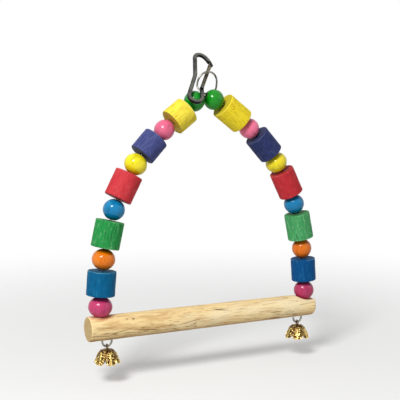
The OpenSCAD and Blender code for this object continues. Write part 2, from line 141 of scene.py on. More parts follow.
def seat(side, k):
    if k == 10:
        low, mid, high = crownAt(side, 0), crownAt(side, 0.5), crownAt(side, 1)
    else:
        run, length = pieceFrom(side, k), pieceLength(side, k)
        low, mid, high = archAt(run), archAt(run + length / 2), archAt(run + length)
    return ((low[0] + high[0]) / 4 + mid[0] / 2, (low[1] + high[1]) / 4 + mid[1] / 2,
            math.degrees(math.atan2(low[0] - high[0], high[1] - low[1])))


def moved(x, y, z):
    return Matrix.Translation(Vector((x, y, z)) * mm)


def tilted(degrees, axis):
    return Matrix.Rotation(math.radians(degrees), 4, axis)


def onWire(side, k, spin=0):
    across, up, heading = seat(side, k)
    place = moved(side * across, 0, up - arch["rise"])
    return place @ tilted(-side * heading, "Y") @ Matrix.Rotation(spin, 4, "Z")


def leanEnd(side):
    return arcEnd((arch["halfSpan"], 0, 180), -arch["bendUnder"], -arch["lean"][side])


def tailEnd(side):
    place = leanEnd(side)
    drop = place[1] + perch["across"] + arch["footDrop"]
    return runEnd(place, drop / math.cos(math.radians(arch["lean"][side])))


def bellPivot(side):
    place = tailEnd(side)
    heading = math.radians(place[2])
    midAcross = place[0] + arch["footRadius"] * math.cos(heading)
    midUp = place[1] + arch["footRadius"] * math.sin(heading)
    return Vector((side * midAcross, 0, midUp - arch["footRadius"] - arch["rise"]))


# Mesh helpers

def keepPlaces(mesh):
    own = [value for vertex in mesh.vertices for value in vertex.co]
    mesh.attributes.new("ownPlace", "FLOAT_VECTOR", "POINT").data.foreach_set("vector", own)


def dress(piece, material, node, body):
    # the mesh moves to where the piece is, and keeps its own coordinates for its finish
    mesh = piece.data
    keepPlaces(mesh)
    mesh.transform(piece.matrix_world)
    piece.matrix_world = Matrix()
    piece.name = "visual_" + node
    mesh.materials.clear()
    mesh.materials.append(material)
    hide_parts(node)
    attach(piece, body)


def finishMesh(name, bm, matrix=None, sharp=50):
    bmesh.ops.recalc_face_normals(bm, faces=bm.faces)
    mesh = bpy.data.meshes.new(name)
    bm.to_mesh(mesh)
    bm.free()
    mesh.shade_smooth()
    mesh.set_sharp_from_angle(angle=math.radians(sharp))
    piece = bpy.data.objects.new(name, mesh)
    bpy.context.scene.collection.objects.link(piece)
    if matrix is not None:
        piece.matrix_world = matrix
    return piece


def cutAndJoin(piece, others, operation, sharp=50):
    for other in others:
        step = piece.modifiers.new("step", "BOOLEAN")
        step.object, step.operation, step.solver = other, operation, "EXACT"
    bpy.context.view_layer.update()
    result = bpy.data.meshes.new_from_object(piece.evaluated_get(bpy.context.evaluated_depsgraph_get()))
    piece.modifiers.clear()
    old = piece.data
    piece.data = result
    bpy.data.meshes.remove(old)
    for other in others:
        bpy.data.objects.remove(other)
    result.shade_smooth()
    result.set_sharp_from_angle(angle=math.radians(sharp))


def ringSolid(rows, closedRows):
    # rows of points, each row closed on itself; closedRows joins the last row to the first
    bm = bmesh.new()
    grid = [[bm.verts.new(point * mm) for point in row] for row in rows]
    pairs = list(zip(grid, grid[1:])) + ([(grid[-1], grid[0])] if closedRows else [])
    for one, two in pairs:
        for i in range(len(one)):
            j = (i + 1) % len(one)
            bm.faces.new((one[i], one[j], two[j], two[i]))
    if not closedRows:
        for row in (grid[0], grid[-1]):
            middle = bm.verts.new(sum((v.co for v in row), Vector()) / len(row))
            for i in range(len(row)):
                bm.faces.new((row[i], row[(i + 1) % len(row)], middle))
    return bm


def onRing(angle, radius, height):
    return Vector((radius * math.cos(angle), radius * math.sin(angle), height))


def bothEnds(end, between):
    # a profile whose low end is its high end turned over
    return end + between + [(radius, -height) for radius, height in end[::-1]]


def lathe(profile, segments, wobble=0, seed=0, closed=True):
    # profile is a list of (radius, height); wobble pulls the surface in by up to that much
    rows = []
    for radius, height in profile:
        row = []
        for i in range(segments):
            point = onRing(2 * math.pi * i / segments, radius, height)
            if wobble:
                soft = noise.noise(point * 0.16 + Vector((seed, 0, 0)))
                fine = noise.noise(point * 0.7 + Vector((0, seed, 0)))
                point = point * (1 - wobble * (0.5 + 0.4 * soft + 0.25 * fine) / 9)
            row.append(point)
        rows.append(row)
    return ringSolid(rows, closed)


def sweep(points, section, closed=False, side=None):
    # a bar or wire of that section along the points; side keeps the section's first axis fixed
    count = len(points)
    rows = []
    across = None
    for i, point in enumerate(points):
        before = points[i - 1] if closed or i else points[i]
        after = points[(i + 1) % count] if closed or i < count - 1 else points[i]
        way = (after - before).normalized()
        if side is not None:
            across = side
        elif across is None:
            across = way.orthogonal().normalized()
        else:
            across = (across - way * across.dot(way)).normalized()
        other = way.cross(across).normalized()
        rows.append([point + across * a + other * b for a, b in section])
    return ringSolid(rows, closed)


def roundSection(across, corners=12):
    angles = [2 * math.pi * i / corners for i in range(corners)]
    return [(across / 2 * math.cos(angle), across / 2 * math.sin(angle)) for angle in angles]


def softBox(across, deep, power=5, corners=28):
    section = []
    for i in range(corners):
        angle = 2 * math.pi * (i + 0.5) / corners
        c, s = math.cos(angle), math.sin(angle)
        section.append((math.copysign(abs(c) ** (2 / power), c) * across / 2,
                        math.copysign(abs(s) ** (2 / power), s) * deep / 2))
    return section


def boxCutter(low, high, matrix):
    bm = bmesh.new()
    bmesh.ops.create_cube(bm, size=1)
    for v in bm.verts:
        v.co = Vector([(low[i] + high[i]) / 2 + v.co[i] * (high[i] - low[i]) for i in range(3)]) * mm
    return finishMesh("cutter", bm, matrix)


# Materials. Colours are written as seen on screen.

def seen(colour):
    return tuple(c / 12.92 if c <= 0.04045 else ((c + 0.055) / 1.055) ** 2.4 for c in colour) + (1,)


def mixed(one, two, share):
    return tuple(a + (b - a) * share for a, b in zip(one, two))


class Finish:
    def __init__(self, name, roughness=0.5, metallic=0.0):
        self.material = bpy.data.materials.new(name)
        self.material.use_nodes = True
        self.tree = self.material.node_tree
        self.shader = self.tree.nodes["Principled BSDF"]
        self.shader.inputs["Roughness"].default_value = roughness
        self.shader.inputs["Metallic"].default_value = metallic
        self.place = self.add("ShaderNodeAttribute", attribute_name="ownPlace").outputs["Vector"]

    def add(self, kind, **values):
        node = self.tree.nodes.new(kind)
        for key, value in values.items():
            setattr(node, key, value)
        return node

    def join(self, output, socket):
        self.tree.links.new(output, socket)

    def stretched(self, scale, turn=(0, 0, 0), shift=(0, 0, 0)):
        node = self.add("ShaderNodeMapping")
        node.inputs["Scale"].default_value = scale
        node.inputs["Rotation"].default_value = [math.radians(a) for a in turn]
        node.inputs["Location"].default_value = shift
        self.join(self.place, node.inputs["Vector"])
        return node.outputs["Vector"]

    def axis(self, name):
        node = self.add("ShaderNodeSeparateXYZ")
        self.join(self.place, node.inputs[0])
        return node.outputs[name]

    def cloud(self, vector, scale, detail=4, rough=0.6, twist=0):
        node = self.add("ShaderNodeTexNoise")
        node.inputs["Scale"].default_value = scale
        node.inputs["Detail"].default_value = detail
        node.inputs["Roughness"].default_value = rough
        node.inputs["Distortion"].default_value = twist
        self.join(vector, node.inputs["Vector"])
        return node.outputs["Fac"]

    def between(self, value, low, high, start=0.0, end=1.0):
        node = self.add("ShaderNodeMapRange", interpolation_type="SMOOTHSTEP")
        for socket, number in (("From Min", low), ("From Max", high), ("To Min", start), ("To Max", end)):
            node.inputs[socket].default_value = number
        self.join(value, node.inputs["Value"])
        return node.outputs["Result"]

    def ramp(self, value, places, start=0.0, end=1.0):
        # the same, between two places in mm
        return self.between(value, places[0] * mm, places[1] * mm, start, end)

    def times(self, one, two):
        node = self.add("ShaderNodeMath", operation="MULTIPLY")
        self.join(one, node.inputs[0])
        self.join(two, node.inputs[1])
        return node.outputs[0]

    def reach(self, axis):
        # distance from the piece's own middle along that axis
        node = self.add("ShaderNodeMath", operation="ABSOLUTE")
        self.join(self.axis(axis), node.inputs[0])
        return node.outputs[0]

    def spot(self, centre, size, low=0.6, high=1.0, turn=0):
        # 1 at the centre of a soft spot of that size, 0 outside it
        move = self.add("ShaderNodeVectorMath", operation="SUBTRACT")
        self.join(self.place, move.inputs[0])
        move.inputs[1].default_value = Vector(centre) * mm
        if turn:
            spin = self.add("ShaderNodeVectorRotate", rotation_type="Y_AXIS")
            self.join(move.outputs["Vector"], spin.inputs["Vector"])
            spin.inputs["Angle"].default_value = math.radians(turn)
            move = spin
        shrink = self.add("ShaderNodeVectorMath", operation="DIVIDE")
        self.join(move.outputs["Vector"], shrink.inputs[0])
        shrink.inputs[1].default_value = Vector(size) * mm
        length = self.add("ShaderNodeVectorMath", operation="LENGTH")
        self.join(shrink.outputs["Vector"], length.inputs[0])
        return self.between(length.outputs["Value"], low, high, 1.0, 0.0)

    def blend(self, one, two, share):
        node = self.add("ShaderNodeMix", data_type="RGBA")
        self.join(share, node.inputs["Factor"])
        for index, colour in ((6, one), (7, two)):  # its two colour sockets
            if isinstance(colour, tuple):
                node.inputs[index].default_value = seen(colour)
            else:
                self.join(colour, node.inputs[index])
        return node.outputs[2]

    def bumps(self, heights):
        # heights is a list of (value, strength, distance in mm)
        normal = None
        for value, strength, distance in heights:
            node = self.add("ShaderNodeBump")
            node.inputs["Strength"].default_value = strength
            node.inputs["Distance"].default_value = distance * mm
            self.join(value, node.inputs["Height"])
            if normal is not None:
                self.join(normal, node.inputs["Normal"])
            normal = node.outputs["Normal"]
        self.join(normal, self.shader.inputs["Normal"])

    def colour(self, output):
        self.join(output, self.shader.inputs["Base Color"])

    def rough(self, output):
        self.join(output, self.shader.inputs["Roughness"])


# Beads: turned wood under dye and lacquer

bead = {
    "across": 13.8,
    "long": 13.2,
    "bore": 3,
    "topBore": 3.8,
    "segments": 72,
    "soften": 0.05,  # at the edge of the flat ends
    "boreEdge": (0.06, 0.12),  # how far the bore's edge is worn outwards and inwards
    "unevenness": 0.1,
    "endShade": (6.1, 6.6),  # distance from the middle where the painted shade at the ends, next to the neighbours, begins and is full
    # widths and colours: left side, then right side
    "widths": {-1: (1.13, 1.09, 1.03, 1.1, 0.96, 1), 1: (1.03, 1, 1.03, 1.1, 1, 1)},
    # each colour's left and right copies differ partly in real tone and partly as painted shade, the right
    # side set darker for most colours where less light falls
    "colours": {
        "magenta": ((0.77, 0.22, 0.42), (0.71, 0.18, 0.37)),
        "orange": ((0.91, 0.47, 0.03), (0.89, 0.44, 0.03)),
        "blue": ((0.00, 0.49, 0.70), (0.00, 0.48, 0.69)),
        "yellow": ((0.98, 0.91, 0.10), (0.96, 0.88, 0.12)),
        "pink": ((0.90, 0.40, 0.54), (0.97, 0.47, 0.61)),
        "green": ((0.03, 0.56, 0.13), (0.06, 0.57, 0.10)),
    },
}


def lacquer(name, colour, seed):
    paint = Finish("lacquer_" + name, roughness=0.16)
    shift = (seed * 0.37, seed * 0.11, 0)
    grain = paint.cloud(paint.stretched((1, 1, 0.3), shift=shift), 330, detail=4, rough=0.6, twist=0.6)
    patches = paint.cloud(paint.stretched((1, 1, 1), shift=shift), 110, detail=3)
    dark, light = mixed(colour, (0, 0, 0), 0.2), mixed(colour, (1, 1, 1), 0.12)
    base = paint.blend(dark, colour, paint.between(grain, 0.3, 0.5, 0.25, 1))
    base = paint.blend(base, light, paint.between(patches, 0.5, 0.75, 0, 0.8))
    # the ends darken towards the neighbouring pieces: painted shade, besides some lacquer pooled at the bore
    ends = paint.ramp(paint.reach("Z"), bead["endShade"])
    paint.colour(paint.blend(base, mixed(colour, (0.1, 0.06, 0.04), 0.45), ends))
    paint.rough(paint.between(patches, 0.3, 0.75, 0.08, 0.2))
    paint.shader.inputs["Specular IOR Level"].default_value = 0.3
    paint.bumps([(patches, 0.2, 0.25), (grain, 0.08, 0.04)])
    return paint.material


def makeBead(name, side, k, material, seed):
    half, plain = bead["long"] / 2, bead["across"] / 2
    radius = plain * bead["widths"][side][k // 2]
    bore = (bead["topBore"] if k == 10 else bead["bore"]) / 2
    rim = math.sqrt(plain ** 2 - half ** 2)
    along = half / math.sqrt(1 - (rim / radius) ** 2)
    last = math.acos(half / along)
    steps = 34
    wider, deeper = bead["boreEdge"]
    end = [(bore, half / 2), (bore, half - deeper), (bore + wider, half - wider / 2)]
    end.append(((bore + rim + wider) / 2, half))
    outside = []
    for i in range(steps + 1):
        angle = last + (math.pi - 2 * last) * i / steps
        height = along * math.cos(angle)
        soften = bead["soften"] if i in (0, steps) else 0
        outside.append((radius * math.sin(angle) - soften / 2, height - math.copysign(soften, height)))
    profile = [(bore, 0)] + bothEnds(end, outside)
    bm = lathe(profile, bead["segments"], bead["unevenness"], seed)
    piece = finishMesh("visual_" + name, bm, onWire(side, k, dice.uniform(0, 6.28)))
    dress(piece, material, name, name + "_turn")


# Blocks: sawn dowel, dyed right through, matt, with the grain along the wire

block = {
    "across": 17.8,
    "long": 17.2,
    "bore": 3.2,
    "edge": 0.55,
    "boreEdge": (0.25, 0.3),
    "segments": 96,
    "wornLitRim": (1.1, 0.3),  # distance from the end where the paler rim, worn dye and painted highlight, begins and is full
    "sawn": (0.25, 0.1),  # the same for the end face, darkened as end grain and as painted shade between neighbours
    "stain": (0.80, 0.56, 0.08),
    "deepStain": (0.36, 0.24, 0.05),
    # shares of the length, and widths, from the lowest block up
    "shares": {-1: (0.93, 1.03, 1.03, 0.88, 0.8), 1: (0.92, 1.06, 1.08, 1.02, 1.07)},
    "widths": {-1: (1.04, 1.04, 1.03, 0.98, 1.04), 1: (0.97, 1.01, 0.97, 0.98, 1.02)},
    "grain": {  # how pale and how dark the streaks are, and how pale the rim is: worn dye, and a painted highlight on the upper edge
        "blue": {"pale": 0.12, "deep": 0.14, "rim": 0.36},
        "green": {"pale": 0.32, "deep": 0.24, "rim": 0.38},
        "red": {"pale": 0.10, "deep": 0.12, "rim": 0.28},
        "navy": {"pale": 0.12, "deep": 0.2, "rim": 0.16},
        "yellow": {"pale": 0.12, "deep": 0.14, "rim": 0.38},
    },
    "unevenness": 0.16,
    # each colour's left and right copies differ partly in real tone and partly as painted shade, the right
    # side set darker for most colours where less light falls
    "colours": {
        "blue": ((0.00, 0.37, 0.55), (0.00, 0.30, 0.53)),
        "green": ((0.14, 0.57, 0.27), (0.28, 0.64, 0.38)),
        "red": ((0.81, 0.22, 0.25), (0.77, 0.19, 0.22)),
        "navy": ((0.27, 0.30, 0.52), (0.18, 0.22, 0.41)),
        "yellow": ((0.98, 0.90, 0.28), (0.99, 0.89, 0.18)),
    },
}


def dyedWood(name, colour, seed, length, kind):
    wood = Finish("dyed_" + name, roughness=0.62)
    shift = (seed * 0.21, seed * 0.53, seed * 0.17)
    grain = wood.cloud(wood.stretched((1, 1, 0.16), shift=shift), 900, detail=6, rough=0.72, twist=0.5)
    leaning = wood.stretched((1, 1, 0.34), turn=(4, 3, 0), shift=shift)
    streaks = wood.cloud(leaning, 640, detail=6, rough=0.7, twist=0.4)
    patches = wood.cloud(wood.stretched((1, 1, 0.6), shift=shift), 95, detail=3)
    look = block["grain"][kind]
    pale, deep = mixed(colour, (1, 1, 0.9), look["pale"]), mixed(colour, (0.02, 0.02, 0.05), look["deep"])
    base = wood.blend(deep, colour, wood.between(grain, 0.36, 0.52))
    base = wood.blend(base, pale, wood.between(streaks, 0.5, 0.68, 0, 0.9))
    base = wood.blend(base, mixed(colour, (0, 0, 0), 0.18), wood.between(patches, 0.56, 0.76, 0, 0.6))
    if kind == "yellow":
        slanted = wood.stretched((1, 1, 0.6), turn=(0, 20, 0), shift=shift)
        stain = wood.cloud(slanted, 300, detail=6, rough=0.7, twist=1.2)
        base = wood.blend(base, block["stain"], wood.between(stain, 0.55, 0.64, 0, 0.6))
        base = wood.blend(base, block["deepStain"], wood.between(stain, 0.64, 0.71, 0, 0.9))
    places = [length / 2 - inward for inward in block["wornLitRim"] + block["sawn"]]
    # a paler rim at the upper end only, both ends on green: worn dye, and a painted highlight where that edge
    # catches the light
    wornLitRim = wood.ramp(wood.reach("Z") if kind == "green" else wood.axis("Z"), places[:2])
    wornLitRim = wood.times(wornLitRim, wood.between(patches, 0.35, 0.65))
    base = wood.blend(base, mixed(colour, (1, 0.97, 0.85), look["rim"]), wornLitRim)
    # the end faces are darker: end grain, and painted shade where each block faces its neighbours
    endFace = wood.ramp(wood.reach("Z"), places[2:])
    wood.colour(wood.blend(base, mixed(colour, (0.12, 0.08, 0.05), 0.22), endFace))
    wood.rough(wood.between(grain, 0.3, 0.7, 0.72, 0.5))
    wood.shader.inputs["Specular IOR Level"].default_value = 0.12
    wood.bumps([(streaks, 0.35, 0.35), (grain, 0.45, 0.16)])
    return wood.material


def makeBlock(name, side, k, material, seed):
    length = pieceLength(side, k)
    half, bore, edge = length / 2, block["bore"] / 2, block["edge"]
    radius = block["across"] / 2 * block["widths"][side][k // 2]
    wider, deeper = block["boreEdge"]
    end = [(bore, half / 2), (bore, half - deeper), (bore + wider, half)]
    end += [(bore + (radius - edge - bore) * share, half) for share in (0.25, 0.5, 0.75)]
    for i in range(7):
        angle = math.pi / 2 * (1 - i / 6)
        end.append((radius - edge + edge * math.cos(angle), half - edge + edge * math.sin(angle)))
    flank = [(radius, (half - edge) * (1 - 2 * i / 26)) for i in range(1, 26)]
    profile = [(bore, 0)] + bothEnds(end, flank)
    bm = lathe(profile, block["segments"], block["unevenness"], seed)
    piece = finishMesh("visual_" + name, bm, onWire(side, k, dice.uniform(0, 6.28)))
    dress(piece, material, name, name + "_turn")


pieceNames = ("magenta_bead", "blue_block", "orange_bead", "green_block", "blue_bead", "red_block",
              "yellow_bead", "navy_block", "pink_bead", "yellow_block", "green_bead")
for side, sideName in ((-1, "left"), (1, "right")):
    for k, kind in enumerate(pieceNames):
        name, colourName = sideName + "_" + kind, kind.split("_")[0]
        seed = 3.1 * k + 40 * side + 50
        if kind.endswith("bead"):
            colour = bead["colours"][colourName][side > 0]
            makeBead(name, side, k, lacquer(name, colour, seed), seed)
        else:
            colour = block["colours"][colourName][side > 0]
            makeBlock(name, side, k, dyedWood(name, colour, seed, pieceLength(side, k), colourName), seed)
print("beads and blocks strung")


# Perch: a peeled stick with a pared hollow near its right end

perch = {
    "long": 167.4,
    "x": -1.2,  # sideways place of its middle
    "across": 16.4,
    "rightAcross": 15.4,
    "edge": 0.8,
    "rightEdge": 1.4,
    "hollowX": 80,  # the pared hollow's place, bend and depth
    "hollowRadius": 22,
    "hollowDepth": 3.8,
    "scrape": 0.12,  # depth of the tool's marks in it
    "bore": 2.2,
    "seatRoom": 0.35,  # round the bead in its seat
    "dyeRing": (2.6, 2, 1.6),  # reach of the bead's dye round the seat
    "sawn": (0.2, 0.05),  # distance from the end where the end grain begins and is full
    "creaseHeights": (-6, 4),  # the dark creases, partly painted shade in their grooves, get fainter from the one height up to the other
    "underHeights": (-6.8, -4),  # the painted shade of the underside, a darker brown, fades out from the one height to the other
    "rings": 300,
    "segments": 120,
    "unevenness": 0.3,
    "wood": (0.98, 0.87, 0.64),
    "streak": (0.74, 0.55, 0.33),
    # the colour of the painted shade on the underside
    "under": (0.62, 0.44, 0.23),
    "line": (0.50, 0.32, 0.14),
    "knot": (0.34, 0.22, 0.12),
    "endGrain": (0.80, 0.70, 0.50),
    "dye": (0.66, 0.24, 0.26),
    "marks": (  # centre from the perch's middle, size, turn about the depth axis, colour, strength
        ((-55.1, -6.3, 5.25), (1.0, 2.5, 0.8), 0, "knot", 0.75),
        ((-59.5, -6.1, 5.5), (0.8, 2.5, 0.6), 0, "knot", 0.5),
        ((8.6, -6.7, 4.6), (8.2, 3, 0.50), -9, "knot", 0.85),
        ((-16.5, -7.9, -0.7), (15.5, 3, 0.45), 9, "line", 0.7),
        ((-47, -7.8, -2.2), (16, 3, 0.5), -7, "line", 0.55),
        ((-62, -7.9, -1.2), (12, 3, 0.4), 11, "line", 0.45),
        ((38, -8, -0.4), (18, 3, 0.4), 3, "line", 0.4),
        ((-71, -7.9, 1.0), (7, 3, 0.45), -14, "line", 0.35),
    ),
}


def peeledWood():
    wood = Finish("peeled_stick", roughness=0.6)
    grain = wood.cloud(wood.stretched((0.07, 1, 1), turn=(0, 0, 2)), 560, detail=7, rough=0.72, twist=0.8)
    bands = wood.cloud(wood.stretched((0.13, 1, 1), turn=(0, 6, 4)), 170, detail=5, rough=0.6, twist=1.8)
    patches = wood.cloud(wood.stretched((0.35, 1, 1)), 60, detail=3)
    plain, streak, endGrain = perch["wood"], perch["streak"], perch["endGrain"]
    base = wood.blend(mixed(plain, streak, 0.42), plain, wood.between(bands, 0.36, 0.52))
    base = wood.blend(base, mixed(plain, (1, 0.98, 0.88), 0.5), wood.between(patches, 0.45, 0.7, 0, 0.8))
    base = wood.blend(base, streak, wood.between(grain, 0.54, 0.68, 0, 0.75))
    height = wood.axis("Z")
    lines = wood.cloud(wood.stretched((0.08, 1, 1), turn=(0, 7, 0)), 620, detail=4, rough=0.6, twist=1.6)
    # dark grain lines in shallow grooves; their dark is partly painted shade, strongest low on the stick
    low = wood.ramp(height, perch["creaseHeights"], 0.95, 0.3)
    creases = wood.times(low, wood.between(lines, 0.55, 0.61, 0, 1))
    base = wood.blend(base, perch["line"], creases)
    # the underside is painted a darker brown as shade
    under = wood.ramp(height, perch["underHeights"], 1, 0)
    base = wood.blend(base, perch["under"], wood.times(under, wood.between(bands, 0.3, 0.7, 0.35, 1.0)))
    for centre, size, turn, colour, strength in perch["marks"]:
        spot = wood.spot(centre, size, 0.5, 1.0, turn)
        ragged = wood.times(spot, wood.between(grain, 0.38, 0.56, strength * 0.35, strength))
        base = wood.blend(base, perch[colour], ragged)
    for side in (-1, 1):
        across, up = seat(side, 0)[:2]
        wide = bead["across"] / 2 * bead["widths"][side][0]
        centre = (side * across - perch["x"], 0, up + perch["across"] / 2)
        ring = wood.spot(centre, [wide + reach for reach in perch["dyeRing"]], 0.86, 1.0)
        base = wood.blend(base, perch["dye"], wood.times(ring, wood.between(grain, 0.35, 0.6, 0.3, 0.85)))
    ends = wood.ramp(wood.reach("X"), [perch["long"] / 2 - inward for inward in perch["sawn"]])
    saw = wood.cloud(wood.stretched((1, 1, 1)), 420, detail=5, rough=0.7)
    endWood = wood.blend(endGrain, mixed(endGrain, streak, 0.6), wood.between(saw, 0.4, 0.7))
    wood.colour(wood.blend(base, endWood, ends))
    wood.rough(wood.between(grain, 0.3, 0.7, 0.5, 0.72))
    wood.shader.inputs["Specular IOR Level"].default_value = 0.15
    wood.bumps([(bands, 0.35, 0.4), (grain, 0.4, 0.16), (creases, -0.3, 0.2)])
    return wood.material


def makePerch():
    half, radius = perch["long"] / 2, perch["across"] / 2
    stations = []
    ends = ((-1, radius, perch["edge"]), (1, perch["rightAcross"] / 2, perch["rightEdge"]))
    for end, endRadius, edge in ends:
        places = [(end * half, share * (endRadius - edge)) for share in (0.15, 0.35, 0.55, 0.75, 0.9)]
        for i in range(9):
            angle = math.pi / 2 * i / 8
            inward = edge * (1 - math.cos(angle))
            places.append((end * (half - inward), endRadius - edge + edge * math.sin(angle)))
        stations.append(places)
    (fromX, fromRadius), (toX, toRadius) = stations[0][-1], stations[1][-1]
    shares = [i / perch["rings"] for i in range(1, perch["rings"])]
    thinning, run = toRadius - fromRadius, toX - fromX
    middle = [(fromX + run * share, fromRadius + thinning * share) for share in shares]
    floorOfHollow = -perch["hollowDepth"] + radius + perch["hollowRadius"]
    rows = []
    for x, r in stations[0] + middle + stations[1][::-1]:
        row = []
        for i in range(perch["segments"]):
            angle = 2 * math.pi * i / perch["segments"]
            point = Vector((x, r * math.cos(angle), r * math.sin(angle)))
            soft = noise.noise(Vector((x * 0.03, point.y * 0.12, point.z * 0.12)))
            fine = noise.noise(Vector((x * 0.16 + 9, point.y * 0.35, point.z * 0.35)))
            pull = max(perch["unevenness"] * (0.5 + 0.5 * soft + 0.35 * fine) * min(1, r / radius), 0)
            point.y -= math.cos(angle) * pull
            point.z -= math.sin(angle) * pull
            offset = x + perch["x"] - perch["hollowX"]
            if abs(offset) < perch["hollowRadius"]:
                limit = floorOfHollow - math.sqrt(perch["hollowRadius"] ** 2 - offset ** 2)
                if point.z > limit:
                    scrape = perch["scrape"] * (1 + noise.noise(Vector((x * 0.5, point.y * 0.25, 3))))
                    point.z = limit - scrape * min(1, (point.z - limit) / 0.4)
            row.append(point)
        rows.append(row)
    place = moved(perch["x"], 0, -arch["rise"] - radius)
    piece = finishMesh("visual_perch", ringSolid(rows, False), place, sharp=45)
    cutters = []
    for side in (-1, 1):
        wide = bead["across"] / 2 * bead["widths"][side][0] + perch["seatRoom"]
        half = bead["long"] / 2 + perch["seatRoom"]
        angles = [math.pi * i / 24 for i in range(1, 24)]
        ball = [(wide * math.sin(angle), half * math.cos(angle)) for angle in angles]
        ball = [(0.01, half)] + ball + [(0.01, -half)]
        cutters.append(finishMesh("cutter", lathe(ball, 72, closed=False), onWire(side, 0)))
        bore = leanEnd(side)
        middle = moved(side * bore[0], 0, bore[1] - arch["rise"]) @ tilted(-side * bore[2], "Y")
        drill = [(perch["bore"] / 2, -20), (perch["bore"] / 2, 40)]
        cutters.append(finishMesh("cutter", lathe(drill, 32, closed=False), middle))
    cutAndJoin(piece, cutters, "DIFFERENCE", 45)
    dress(piece, peeledWood(), "perch", "swing_frame")


makePerch()
print("perch laid")


# Wire arch with its top eye and its foot loops

def drawnSteel(name, colour, dark, roughness):
    steel = Finish(name, roughness=roughness, metallic=1.0)
    scuffs = steel.cloud(steel.stretched((1, 1, 1)), 900, detail=5, rough=0.7)
    patches = steel.cloud(steel.stretched((1, 1, 1)), 160, detail=3)
    base = steel.blend(dark, colour, steel.between(patches, 0.3, 0.62))
    steel.colour(steel.blend(base, mixed(colour, (1, 1, 1), 0.3), steel.between(scuffs, 0.58, 0.75, 0, 0.6)))
    steel.rough(steel.between(scuffs, 0.3, 0.7, roughness - 0.08, roughness + 0.12))
    steel.bumps([(scuffs, 0.25, 0.06)])
    return steel.material


def eyeCorners():
    eye = arch["eye"]
    yaw = math.radians(eye["yaw"])
    left, right = crownAt(-1, 1), crownAt(1, 1)
    wire = arch["wire"]
    beadRadius = bead["across"] / 2

    def offPole(place, side, run):
        end = runEnd(place, run)
        return Vector((side * end[0], 0, end[1]))

    def corner(side, y, z):
        spoke = side * eye["radius"]
        return Vector((eye["x"] + spoke * math.cos(yaw), y + spoke * math.sin(yaw), z))

    backZ = right[1] + wire
    rounding = 0.97 * eye["radius"]
    return [(offPole(left, -1, 0), 0), (offPole(left, -1, wire), 1.15 * wire),
            (corner(-1, eye["lowBack"], arch["rise"] - eye["radius"] / 4), 2 * wire),
            (corner(-1, eye["topBack"], arch["rise"] + eye["radius"]), rounding),
            (corner(1, eye["topBack"], arch["rise"] + eye["radius"]), rounding),
            (corner(1, beadRadius - eye["radius"] * math.sin(yaw), backZ), 3.5 * wire),
            (Vector((eye["x"] - eye["radius"] / 3, beadRadius, backZ)), 1.15 * wire),
            (offPole(right, 1, wire), 0.7 * wire), (offPole(right, 1, 0), 0)]


def roundedCorners(corners, steps=9):
    points = []
    for i, (corner, radius) in enumerate(corners):
        if not radius:
            points.append(corner)
            continue
        before = (corner - corners[i - 1][0]).normalized()
        after = (corners[i + 1][0] - corner).normalized()
        turn = before.angle(after)
        centre = corner + (after - before).normalized() * radius / math.cos(turn / 2)
        spoke = corner - before * radius * math.tan(turn / 2) - centre
        axis = before.cross(after).normalized()
        points += [centre + Matrix.Rotation(turn * j / steps, 3, axis) @ spoke for j in range(steps + 1)]
    return points


def halfWire(side):
    down = arcPlaces((arch["halfSpan"], 0, 180), -arch["bendUnder"], -arch["lean"][side], 4)
    down += arcPlaces(tailEnd(side), -arch["footRadius"], -arch["footTurn"], 26)
    rest = -perch["across"] - arch["endGap"] - down[-1][1]
    down.append(runEnd(down[-1], rest / math.cos(math.radians(down[-1][2]))))
    up = arcPlaces(foot, *arch["low"], 12)[1:] + arcPlaces(lowEnd, *arch["mid"], 20)[1:]
    topTurn = turned(pieceFrom(side, 10) - arch["gap"] / 2 - lowLength - midLength, arch["topRadius"])
    up += arcPlaces(midEnd, arch["topRadius"], topTurn, 16)[1:]
    up += arcPlaces(crownAt(side, 0), crookRadius(side), arch["crook"][side], 8)[1:]
    return [Vector((side * p[0], 0, p[1])) for p in down[::-1] + up]


def makeArch():
    points = halfWire(-1) + roundedCorners(eyeCorners())[1:-1] + halfWire(1)[::-1]
    drop = Vector((0, 0, arch["rise"]))
    kept = [points[0] - drop]
    for point in points[1:]:
        if (point - drop - kept[-1]).length > 0.12:
            kept.append(point - drop)
    piece = finishMesh("visual_arch_wire", sweep(kept, roundSection(arch["wire"], 14)))
    steel = drawnSteel("drawn_wire", arch["steel"], arch["dark"], 0.3)
    dress(piece, steel, "arch_wire", "swing_frame")


makeArch()
print("arch bent")


# Clip hook

hook = {
    "bar": 2.7,  # width
    "thick": 2.4,
    "square": 3.6,  # 2 is an oval section, and more is squarer
    "gateSquare": 6,
    "lean": 41,  # backwards against the top beads
    "turn": 17,
    "x": -13.4,
    "slide": 3.6,  # down its own length
    "spine": 15.2,
    "bow": (4, 125),  # bend radius and angle, as in the next ones
    "nose": (12, 35),
    "noseTip": 2,
    "knee": (10, 13),
    "side": 18.2,
    "round": 4.4,
    "rise": 9,  # from the round end to the gate's pin
    "gateLean": 15,
    "gate": 2.4,
    "gateLong": 23.3,
    "lip": 2.5,  # length of the tab at the gate's tip
    "cheek": 0.6,
    "pin": 1,
    "head": 0.4,  # of the pin
    "dome": 0.12,  # of the pin's heads
    "gap": 0.3,  # between gate and body
    "pinFit": 0.05,
    "beadRoom": 0.35,  # between the hook and the top beads
    # steel is the painted sheen on the faces and dark the painted shade at the sides; gateSteel and gateDark
    # are the same for the gate
    "steel": (0.42, 0.42, 0.39),
    "dark": (0.07, 0.07, 0.08),
    "gateSteel": (0.47, 0.44, 0.34),
    "gateDark": (0.10, 0.09, 0.08),
    "pinSteel": (0.5, 0.5, 0.48),
    "pinDark": (0.2, 0.2, 0.19),
}
spineFoot = (0, 0, 0)
spineTop = runEnd(spineFoot, hook["spine"])
